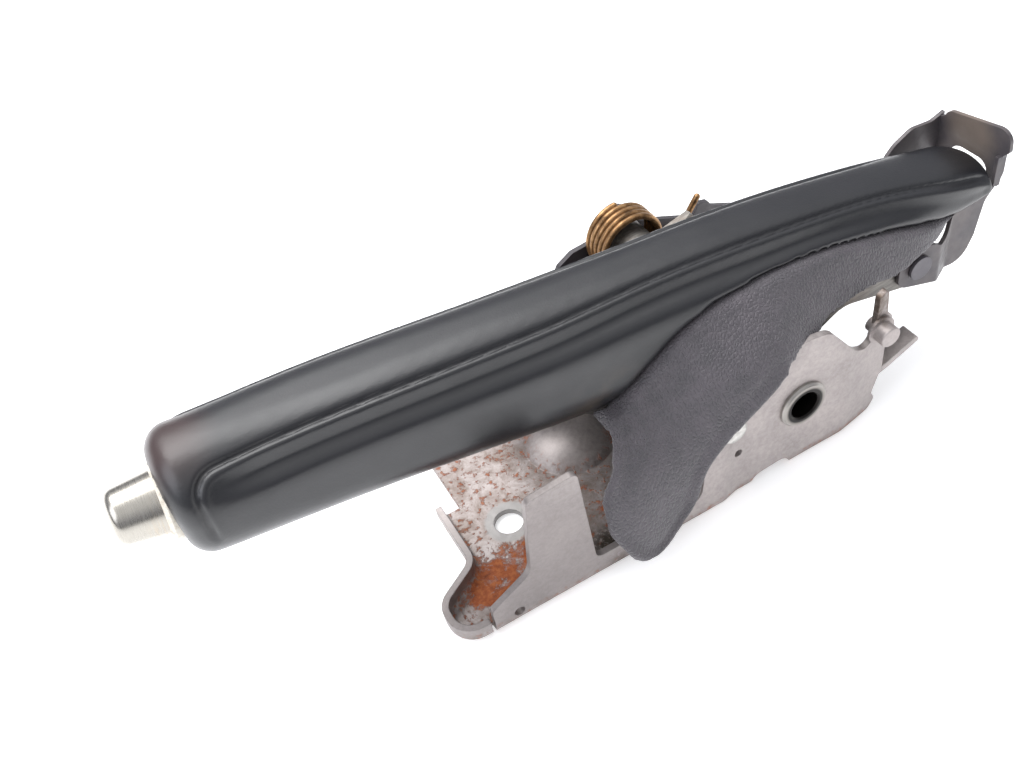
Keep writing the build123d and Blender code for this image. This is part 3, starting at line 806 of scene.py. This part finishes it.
def soft_skin():
    """Integral-skin polyurethane: smooth satin black with a blue cast, finely pored."""
    (material, tree, surface, place) = start_material(
        "moulded_polyurethane_skin",
        **{"Specular IOR Level": 0.6, "Coat Weight": 0.2, "Coat Roughness": 0.25},
    )
    cloud = add(
        tree,
        "ShaderNodeTexNoise",
        {"Vector": place, "Scale": per_metre(30), "Detail": 3, "Roughness": 0.5},
    ).outputs["Fac"]
    colour = add(
        tree,
        "ShaderNodeValToRGB",
        {"Fac": cloud},
        stops=[(0.3, "#121317"), (0.7, "#19191d")],
    ).outputs["Color"]
    worn = near(tree, place, (-90, 2, 108), 5, 13)
    colour = add(
        tree,
        "ShaderNodeMix",
        {
            0: add(tree, "ShaderNodeMath", {0: worn, 1: 0.35}, operation="MULTIPLY").outputs[0],
            6: colour,
            7: "#5a3f3a",
        },
        data_type="RGBA",
    ).outputs[2]
    stain_and_shade = near(tree, place, (35, -20, 60), 4, 16)
    stain_and_shade = add(
        tree,
        "ShaderNodeMath",
        {
            0: stain_and_shade,
            1: add(
                tree,
                "ShaderNodeValToRGB",
                {
                    "Fac": add(
                        tree,
                        "ShaderNodeTexNoise",
                        {"Vector": place, "Scale": per_metre(9), "Detail": 4, "Roughness": 0.6},
                    ).outputs["Fac"],
                },
                stops=[(0.4, 0.0), (0.65, 1.0)],
            ).outputs["Color"],
        },
        operation="MULTIPLY",
    ).outputs[0]
    colour = add(
        tree,
        "ShaderNodeMix",
        {
            0: add(tree, "ShaderNodeMath", {0: stain_and_shade, 1: 0.4}, operation="MULTIPLY").outputs[0],
            6: colour,
            7: "#55483a",
        },
        data_type="RGBA",
    ).outputs[2]
    tree.links.new(colour, surface.inputs["Base Color"])
    smudge = add(
        tree,
        "ShaderNodeTexNoise",
        {"Vector": place, "Scale": per_metre(14), "Detail": 4, "Roughness": 0.6},
    ).outputs["Fac"]
    tree.links.new(
        add(
            tree,
            "ShaderNodeValToRGB",
            {"Fac": smudge},
            stops=[(0.3, 0.33), (0.7, 0.43)],
        ).outputs["Color"],
        surface.inputs["Roughness"],
    )
    # the skin's pores are about 0.2 mm; drawn at 0.8 mm so that they show
    pores = add(
        tree,
        "ShaderNodeTexNoise",
        {"Vector": place, "Scale": per_metre(0.8), "Detail": 3, "Roughness": 0.6, "Distortion": 0.6},
    ).outputs["Fac"]
    tree.links.new(
        add(
            tree,
            "ShaderNodeBump",
            {"Height": pores, "Distance": 0.08 * MM, "Strength": 0.6},
        ).outputs["Normal"],
        surface.inputs["Normal"],
    )
    return material


def grained_moulding():
    """Leather-grained thermoplastic: dark grey with a purple cast, matt, with short wavy wrinkles."""
    material, tree, surface, place = start_material(
        "grained_thermoplastic", **{"Specular IOR Level": 0.5, "Sheen Weight": 0.15, "Sheen Roughness": 0.5}
    )
    wavy = add(
        tree,
        "ShaderNodeTexNoise",
        {"Vector": place, "Scale": per_metre(6), "Detail": 2, "Roughness": 0.55},
    ).outputs["Fac"]
    warp = add(
        tree,
        "ShaderNodeVectorMath",
        {0: place, 1: (1.0, 1.0, 0.55)},
        operation="MULTIPLY",
    ).outputs[0]
    cells = add(
        tree,
        "ShaderNodeTexVoronoi",
        {"Vector": warp, "Scale": per_metre(1.25), "Randomness": 0.95},
        feature="DISTANCE_TO_EDGE",
    ).outputs["Distance"]
    wrinkle = add(
        tree,
        "ShaderNodeTexNoise",
        {"Vector": warp, "Scale": per_metre(1.2), "Detail": 3, "Roughness": 0.6, "Distortion": 1.2},
    ).outputs["Fac"]
    grain = add(
        tree,
        "ShaderNodeMath",
        {
            0: add(
                tree,
                "ShaderNodeValToRGB",
                {"Fac": cells},
                stops=[(0.0, 0.0), (0.25, 1.0)],
            ).outputs["Color"],
            1: add(tree, "ShaderNodeMath", {0: wrinkle, 1: 0.8}, operation="MULTIPLY").outputs[0],
        },
        operation="ADD",
    ).outputs[0]
    colour = add(
        tree,
        "ShaderNodeValToRGB",
        {"Fac": wavy},
        stops=[(0.3, "#49464a"), (0.7, "#544f54")],
    ).outputs["Color"]
    tree.links.new(colour, surface.inputs["Base Color"])
    tree.links.new(
        add(
            tree,
            "ShaderNodeValToRGB",
            {"Fac": wrinkle},
            stops=[(0.3, 0.48), (0.7, 0.62)],
        ).outputs["Color"],
        surface.inputs["Roughness"],
    )
    tree.links.new(
        add(
            tree,
            "ShaderNodeBump",
            {"Height": grain, "Distance": 0.26 * MM, "Strength": 0.9},
        ).outputs["Normal"],
        surface.inputs["Normal"],
    )
    return material


def table_top():
    """White laminate table, matt."""
    material, tree, surface, place = start_material("white_laminate", Roughness=0.7)
    tone = add(
        tree,
        "ShaderNodeValToRGB",
        {
            "Fac": add(
                tree,
                "ShaderNodeTexNoise",
                {"Vector": place, "Scale": per_metre(300), "Detail": 2, "Roughness": 0.55},
            ).outputs["Fac"],
        },
        stops=[(0.3, "#f6f6f6"), (0.7, "#fafafa")],
    ).outputs["Color"]
    tree.links.new(tone, surface.inputs["Base Color"])
    surface.inputs["Emission Color"].default_value = linear("#ffffff")
    surface.inputs["Emission Strength"].default_value = 0.42
    return material


# soft covers

# the grip's sections as in the solid: x, centre height, half width, half height, in mm
GRIP = np.array(
    [
        (-98.0, 91.6, 19.0, 19.0),
        (-60.0, 87.2, 19.6, 20.3),
        (-10.0, 79.8, 20.2, 22.0),
        (40.0, 72.0, 20.4, 23.6),
        (80.0, 68.0, 20.2, 23.6),
        (120.0, 65.4, 19.6, 20.8),
        (155.0, 63.5, 18.0, 15.0),
        (185.0, 61.8, 15.8, 9.2),
        (204.4, 60.2, 14.5, 5.4),
    ]
)
# the crease on each shoulder: x, distance from the middle, height above the section's centre
CREASE = np.array(
    [
        (-94.0, 13.4, 15.8),
        (-73.0, 12.8, 17.5),
        (-42.0, 12.5, 19.1),
        (-6.0, 12.1, 20.2),
        (19.0, 11.3, 20.6),
        (61.0, 9.4, 21.8),
        (111.0, 9.5, 19.6),
        (154.0, 9.6, 14.0),
        (188.0, 12.0, 7.1),
        (204.0, 12.9, 4.6),
    ]
)
CREASE_FRONT = -89.0            # where the crease turns down the front of the side
CREASE_BEND = 9.0
# seam between the grip and the skirt, and the skirt's front edge, as x and z
SEAM = [
    (38.5, 57), (54, 68), (69, 76), (89, 78.5), (112.5, 77),
    (133.5, 73), (156, 66.5), (181, 57.5), (206, 53),
]
SKIRT_EDGE = [
    (37.8, 60.7), (31.5, 53), (21.5, 42), (20.3, 25), (27, 10),
    (38, 5.5), (52, 14), (59, 31), (71.5, 43.5), (89, 55.3),
]
# the skirt's lower edge behind the pivot: x, height in the solid, and how much lower it is drawn
SKIRT_LOWERED = np.array([
    (92.0, 58.0, 0.0), (99.0, 62.0, 2.5), (107.0, 62.8, 6.2),
    (120.0, 62.9, 6.8), (131.0, 60.0, 4.8), (141.0, 57.2, 3.2),
    (150.0, 55.0, 3.4), (158.0, 53.4, 1.8), (164.0, 52.6, 0.0),
])


# the torsion spring, in mm: its coil round the pivot, a straight leg along the hub, and a hooked
# one behind the coil
PIVOT_X, PIVOT_Z = 101.5, 31.0
WIRE_RADIUS = 1.4
COIL_RADIUS = 13.7
COIL_TURNS = 4.25
COIL_START, COIL_END = 69.975, 82.3
SPRING_LEGS = [
    ((PIVOT_X - COIL_RADIUS, 54.0, PIVOT_Z), (PIVOT_X - COIL_RADIUS, COIL_START, PIVOT_Z)),
    ((PIVOT_X, COIL_END, PIVOT_Z - COIL_RADIUS), (132.5, COIL_END, PIVOT_Z - COIL_RADIUS)),
    ((132.5, COIL_END, PIVOT_Z - COIL_RADIUS), (141.5, COIL_END, 29.3)),
]


def welded_copy(node, name):
    """A copy of a CAD node's mesh with its triangles joined."""
    mesh = NODES[node].data.copy()
    work = bmesh.new()
    work.from_mesh(mesh)
    bmesh.ops.remove_doubles(work, verts=work.verts, dist=2e-6)
    work.to_mesh(mesh)
    work.free()
    mesh.name = name
    piece = bpy.data.objects.new(name, mesh)
    bpy.context.scene.collection.objects.link(piece)
    return piece


def settled(piece):
    """The piece with its modifiers turned into plain mesh."""
    graph = bpy.context.evaluated_depsgraph_get()
    mesh = bpy.data.meshes.new_from_object(piece.evaluated_get(graph))
    piece.modifiers.clear()
    piece.data = mesh
    return piece


def softened(piece, voxel_mm, rounds):
    """Even quads all over the piece, with its edges rounded as a moulding's are."""
    remesh = piece.modifiers.new("even", "REMESH")
    remesh.mode = "VOXEL"
    remesh.voxel_size = voxel_mm * MM
    smooth = piece.modifiers.new("round", "SMOOTH")
    smooth.factor = 0.5
    smooth.iterations = rounds
    return settled(piece)


def eased_along(piece, corners, width_mm, rounds):
    """The piece's corner along an x, z path rounded off, so that the seam there runs smooth."""
    weights = hump(path_distance(points_of(piece)[:, [0, 2]], rounded_path(corners)), 0.0, width_mm)
    group = piece.vertex_groups.new(name="seam")
    for index in np.flatnonzero(weights > 0.03):
        group.add([int(index)], float(weights[index]), "REPLACE")
    smooth = piece.modifiers.new("ease", "SMOOTH")
    smooth.factor = 0.5
    smooth.iterations = rounds
    smooth.vertex_group = group.name
    settled(piece)
    piece.vertex_groups.clear()
    return piece


def pressed(piece, relief):
    """Each point moved by relief(points), in millimetres."""
    points = points_of(piece)
    set_points(piece, points + relief(points))
    piece.data.shade_smooth()
    return piece


def points_of(piece):
    """The piece's points in millimetres."""
    points = np.empty(len(piece.data.vertices) * 3)
    piece.data.vertices.foreach_get("co", points)
    return points.reshape(-1, 3) / MM


def set_points(piece, points):
    piece.data.vertices.foreach_set("co", (points * MM).ravel())
    piece.data.update()


def hump(distance, centre, width):
    return np.exp(-(((distance - centre) / width) ** 2))


def smooth_row(table, at):
    """A table's columns at places between its rows, on a smooth curve."""
    x = table[:, 0]
    slopes = np.gradient(table[:, 1:], x, axis=0)
    index = np.clip(np.searchsorted(x, at) - 1, 0, len(x) - 2)
    step = x[index + 1] - x[index]
    t = np.clip((at - x[index]) / step, 0.0, 1.0)[:, None]
    step = step[:, None]
    low, high = table[index, 1:], table[index + 1, 1:]
    low_slope, high_slope = slopes[index] * step, slopes[index + 1] * step
    return (
        (2 * t**3 - 3 * t**2 + 1) * low
        + (t**3 - 2 * t**2 + t) * low_slope
        + (3 * t**2 - 2 * t**3) * high
        + (t**3 - t**2) * high_slope
    )


def path_distance(points, corners):
    """Distance of each x, z pair from a run of straight pieces."""
    best = np.full(len(points), 1e9)
    for start, end in zip(corners[:-1], corners[1:]):
        start, end = np.array(start, float), np.array(end, float)
        run = end - start
        along = np.clip(((points - start) @ run) / (run @ run), 0.0, 1.0)
        best = np.minimum(best, np.linalg.norm(points - (start + along[:, None] * run), axis=1))
    return best


def rounded_path(corners, parts=8):
    """Points on a smooth curve through the corners."""
    table = np.column_stack([np.arange(len(corners)), np.array(corners, float)])
    return smooth_row(table, np.linspace(0, len(corners) - 1, parts * (len(corners) - 1) + 1))


def grip_relief(points):
    """Crease with a raised lip under it and a broad hollow below, round each side and down its front."""
    x, across, z = points[:, 0], np.abs(points[:, 1]), points[:, 2]
    up = z - smooth_row(GRIP, x)[:, 0]
    crease_y, crease_z = smooth_row(CREASE, x).T
    reach = np.maximum(np.hypot(across, up), 1.0)
    below = (np.arctan2(across, up) - np.arctan2(crease_y, crease_z)) * reach
    ahead = x - CREASE_FRONT
    rounded = np.where(
        (ahead < CREASE_BEND) & (below < CREASE_BEND),
        CREASE_BEND - np.hypot(CREASE_BEND - ahead, CREASE_BEND - below),
        np.minimum(ahead, below),
    )
    line = -1.35 * hump(rounded, 0.0, 0.95) + 0.4 * hump(rounded, 2.2, 1.2)
    sunk = np.interp(x, (-86.0, -68.0, 100.0, 140.0, 200.0), (0.0, 2.5, 2.5, 1.3, 0.9))
    seam = path_distance(points[:, [0, 2]], rounded_path(SEAM))
    hollow = -sunk * hump(below, 6.8, 3.4) * np.clip((seam - 0.5) / 4.0, 0.0, 1.0)
    fade = np.clip((1.9 - np.arctan2(across, up)) / 0.3, 0.0, 1.0) * np.clip((204.0 - x) / 4.0, 0.0, 1.0)
    amount = np.where(reach > 6.0, (line + hollow) * fade, 0.0)
    outward = np.column_stack([np.zeros(len(x)), points[:, 1], up]) / reach[:, None]
    return outward * amount[:, None]


def drawn_ends(points):
    """The tail drawn into a crowned, rounded end, and the front face a little flatter."""
    x, across, z = points.T
    centre, half_width, half_height = smooth_row(GRIP, x).T
    top = np.clip((z - centre) / half_height, 0.0, 1.0)
    spread = (across / half_width) ** 2
    crown = np.clip((x - 130.0) / 60.0, 0.0, 1.0)
    nose = np.clip((x - 194.0) / 10.4, 0.0, 1.0)
    move = np.zeros_like(points)
    move[:, 2] = crown * top * (1.5 - 3.8 * spread) - top * 1.2 * nose**2
    move[:, 0] = -2.2 * nose * spread + 1.4 * np.clip((-84.0 - x) / 14.0, 0.0, 1.0)
    return move


def lowered_cheeks(points):
    """The skirt's lower edge behind the pivot brought down over the fork."""
    x, z = points[:, 0], points[:, 2]
    low, high = SKIRT_LOWERED[0, 0], SKIRT_LOWERED[-1, 0]
    edge, drop = smooth_row(SKIRT_LOWERED, np.clip(x, low, high)).T
    seam_x, seam_z = rounded_path(SEAM).T
    seam = np.interp(x, seam_x, seam_z)
    share = np.clip((seam - z) / (seam - edge), 0.0, 1.1)
    inside = (x > low) & (x < high) & (np.abs(points[:, 1]) > 12.0)
    move = np.zeros_like(points)
    move[:, 2] = np.where(inside, -(share**1.5) * drop, 0.0)
    return move


def skirt_relief(points):
    """A rounded bead along the front edge and a lip along the seam."""
    flat = points[:, [0, 2]]
    edge = path_distance(flat, rounded_path(SKIRT_EDGE))
    seam = path_distance(flat, rounded_path(SEAM))
    amount = 0.7 * hump(edge, 1.8, 1.6) - 0.5 * hump(edge, 5.4, 1.8) + 0.35 * hump(seam, 1.6, 1.6)
    move = np.zeros_like(points)
    move[:, 1] = np.sign(points[:, 1]) * amount * (np.abs(points[:, 1]) > 10.0)
    return move


def dress(piece, material, body, node):
    piece.data.materials.clear()
    piece.data.materials.append(material)
    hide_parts(node)
    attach(piece, body)


def wound_spring():
    """The torsion spring by rule: a spiral and its straight legs, swept with one round wire."""
    tree = bpy.data.node_groups.new("torsion_spring", "GeometryNodeTree")
    sizes = {
        "Wire radius": WIRE_RADIUS * MM,
        "Coil radius": COIL_RADIUS * MM,
        "Turns": COIL_TURNS,
        "Coil length": (COIL_END - COIL_START) * MM,
    }
    identifiers = {}
    for label in sizes:
        socket = tree.interface.new_socket(label, in_out="INPUT", socket_type="NodeSocketFloat")
        identifiers[label] = socket.identifier
    tree.interface.new_socket("Geometry", in_out="OUTPUT", socket_type="NodeSocketGeometry")
    given_size = add(tree, "NodeGroupInput").outputs
    spiral = add(
        tree,
        "GeometryNodeCurveSpiral",
        {
            "Resolution": 40,
            "Rotations": given_size["Turns"],
            "Start Radius": given_size["Coil radius"],
            "End Radius": given_size["Coil radius"],
            "Height": given_size["Coil length"],
            "Reverse": True,
        },
    )
    coil = add(
        tree,
        "GeometryNodeTransform",
        {
            "Geometry": spiral.outputs[0],
            "Translation": (PIVOT_X * MM, COIL_START * MM, PIVOT_Z * MM),
            "Rotation": (math.radians(-90.0), math.radians(180.0), 0.0),
        },
    )
    wire = add(tree, "GeometryNodeJoinGeometry")
    tree.links.new(coil.outputs[0], wire.inputs[0])
    for start, end in SPRING_LEGS:
        leg = add(
            tree,
            "GeometryNodeCurvePrimitiveLine",
            {"Start": [c * MM for c in start], "End": [c * MM for c in end]},
        )
        tree.links.new(leg.outputs[0], wire.inputs[0])
    section = add(
        tree,
        "GeometryNodeCurvePrimitiveCircle",
        {"Resolution": 16, "Radius": given_size["Wire radius"]},
    )
    swept = add(
        tree,
        "GeometryNodeCurveToMesh",
        {"Curve": wire.outputs[0], "Profile Curve": section.outputs[0], "Fill Caps": True},
    )
    ball = add(tree, "GeometryNodeMeshIcoSphere", {"Radius": given_size["Wire radius"], "Subdivisions": 3})
    ends = add(tree, "GeometryNodeCurveEndpointSelection")
    bends = add(
        tree,
        "GeometryNodeInstanceOnPoints",
        {"Points": wire.outputs[0], "Selection": ends.outputs[0], "Instance": ball.outputs[0]},
    )
    whole = add(tree, "GeometryNodeJoinGeometry")
    tree.links.new(swept.outputs[0], whole.inputs[0])
    tree.links.new(bends.outputs[0], whole.inputs[0])
    real = add(tree, "GeometryNodeRealizeInstances", {0: whole.outputs[0]})
    metal = spring_wire()
    painted = add(tree, "GeometryNodeSetMaterial", {"Geometry": real.outputs[0], "Material": metal})
    add(tree, "NodeGroupOutput", {0: painted.outputs[0]})
    piece = bpy.data.objects.new("wound_spring", bpy.data.meshes.new("wound_spring"))
    bpy.context.scene.collection.objects.link(piece)
    modifier = piece.modifiers.new("wound", "NODES")
    modifier.node_group = tree
    for label, value in sizes.items():
        modifier[identifiers[label]] = value
    settled(piece).data.shade_smooth()
    dress(piece, metal, "bracket", "adjuster_spring")


def make_covers():
    handle = eased_along(softened(welded_copy("grip", "grip_cover"), 0.95, 6), SEAM, 2.6, 30)
    pressed(pressed(handle, grip_relief), drawn_ends)
    dress(handle, soft_skin(), "lever", "grip")
    cheeks = eased_along(softened(welded_copy("skirt", "skirt_cover"), 0.8, 6), SEAM, 2.2, 24)
    pressed(pressed(cheeks, skirt_relief), lowered_cheeks)
    dress(cheeks, grained_moulding(), "lever", "skirt")


# metal parts


def finish_metals():
    zinc = galvanised_sheet()
    black = black_coat("black_electrocoated_steel", "#333135", "#4c484b")
    light_steel = plain_steel("phosphated_steel", "#625f5c", "#85827d", 0.45)
    bright_steel = plain_steel("polished_steel", "#a8a6a3", "#cfcdca", 0.28)
    looks = {
        "base_bracket": zinc,
        "cable_peg": zinc,
        "tail_pin": black_coat("dark_phosphated_pin", "#57545a", "#6d696d"),
        "far_support": black,
        "tail_cover": black_coat("electrocoated_yoke_steel", "#454247", "#67605f"),
        "stop_pin": formed_head(),
        "floor_rivets": bright_steel,
        "pivot_tube": flared_tube(),
        "push_button": satin_button(),
        "button_collar": cream_collar(),
        "pawl_spacers": moulded_nylon(),
        "rod_guide": moulded_nylon(),
    }
    for name, node in NODES.items():
        if name in ("grip", "skirt", "adjuster_spring"):
            continue
        material = looks.get(name, light_steel)
        for material_slot in node.material_slots:
            material_slot.material = material


# table and light


def make_table():
    mesh = bpy.data.meshes.new("table")
    half, drop = 3.0, -0.0004
    mesh.from_pydata(
        [(-half, -half, drop), (half, -half, drop), (half, half, drop), (-half, half, drop)],
        [],
        [(0, 1, 2, 3)],
    )
    table = bpy.data.objects.new("table", mesh)
    table.data.materials.append(table_top())
    bpy.context.scene.collection.objects.link(table)


def add_light(name, place, target, size, power, colour):
    data = bpy.data.lights.new(name, "AREA")
    data.shape = "RECTANGLE"
    data.size, data.size_y = size
    data.energy = power
    data.color = linear(colour)[:3]
    light = bpy.data.objects.new(name, data)
    towards = Matrix.Identity(3)
    back = np.array(place, float) - np.array(target, float)
    back /= np.linalg.norm(back)
    side = np.cross((0.0, 1.0, 0.0), back)
    side /= np.linalg.norm(side)
    up = np.cross(back, side)
    for row in range(3):
        towards[row][0], towards[row][1], towards[row][2] = side[row], up[row], back[row]
    light.matrix_world = Matrix.Translation(place) @ towards.to_4x4()
    bpy.context.scene.collection.objects.link(light)


def light_studio():
    """A bright ceiling over darker walls, one broad softbox above and a window at the left."""
    world = bpy.data.worlds.new("studio")
    bpy.context.scene.world = world
    world.use_nodes = True
    tree = world.node_tree
    ray = add(tree, "ShaderNodeTexCoord").outputs["Generated"]
    height = add(tree, "ShaderNodeSeparateXYZ", {0: ray}).outputs["Z"]
    sky = add(
        tree,
        "ShaderNodeValToRGB",
        {"Fac": height},
        stops=[(0.0, "#55565b"), (0.35, "#aeb0b8"), (0.8, "#fbfcff")],
    ).outputs["Color"]
    tree.links.new(sky, tree.nodes["Background"].inputs["Color"])
    tree.nodes["Background"].inputs["Strength"].default_value = 1.1
    add_light("overhead", (-0.05, 0.5, 1.1), (0.04, 0.0, 0.05), (1.2, 0.9), 16.0, "#ffffff")
    add_light("window", (-0.9, -0.1, 0.7), (0.04, 0.0, 0.05), (0.8, 0.8), 5.0, "#f4f7ff")
    bpy.context.scene.view_settings.view_transform = "Standard"
    bpy.context.scene.view_settings.look = "None"


make_camera()
light_studio()
make_table()
make_covers()
wound_spring()
finish_metals()
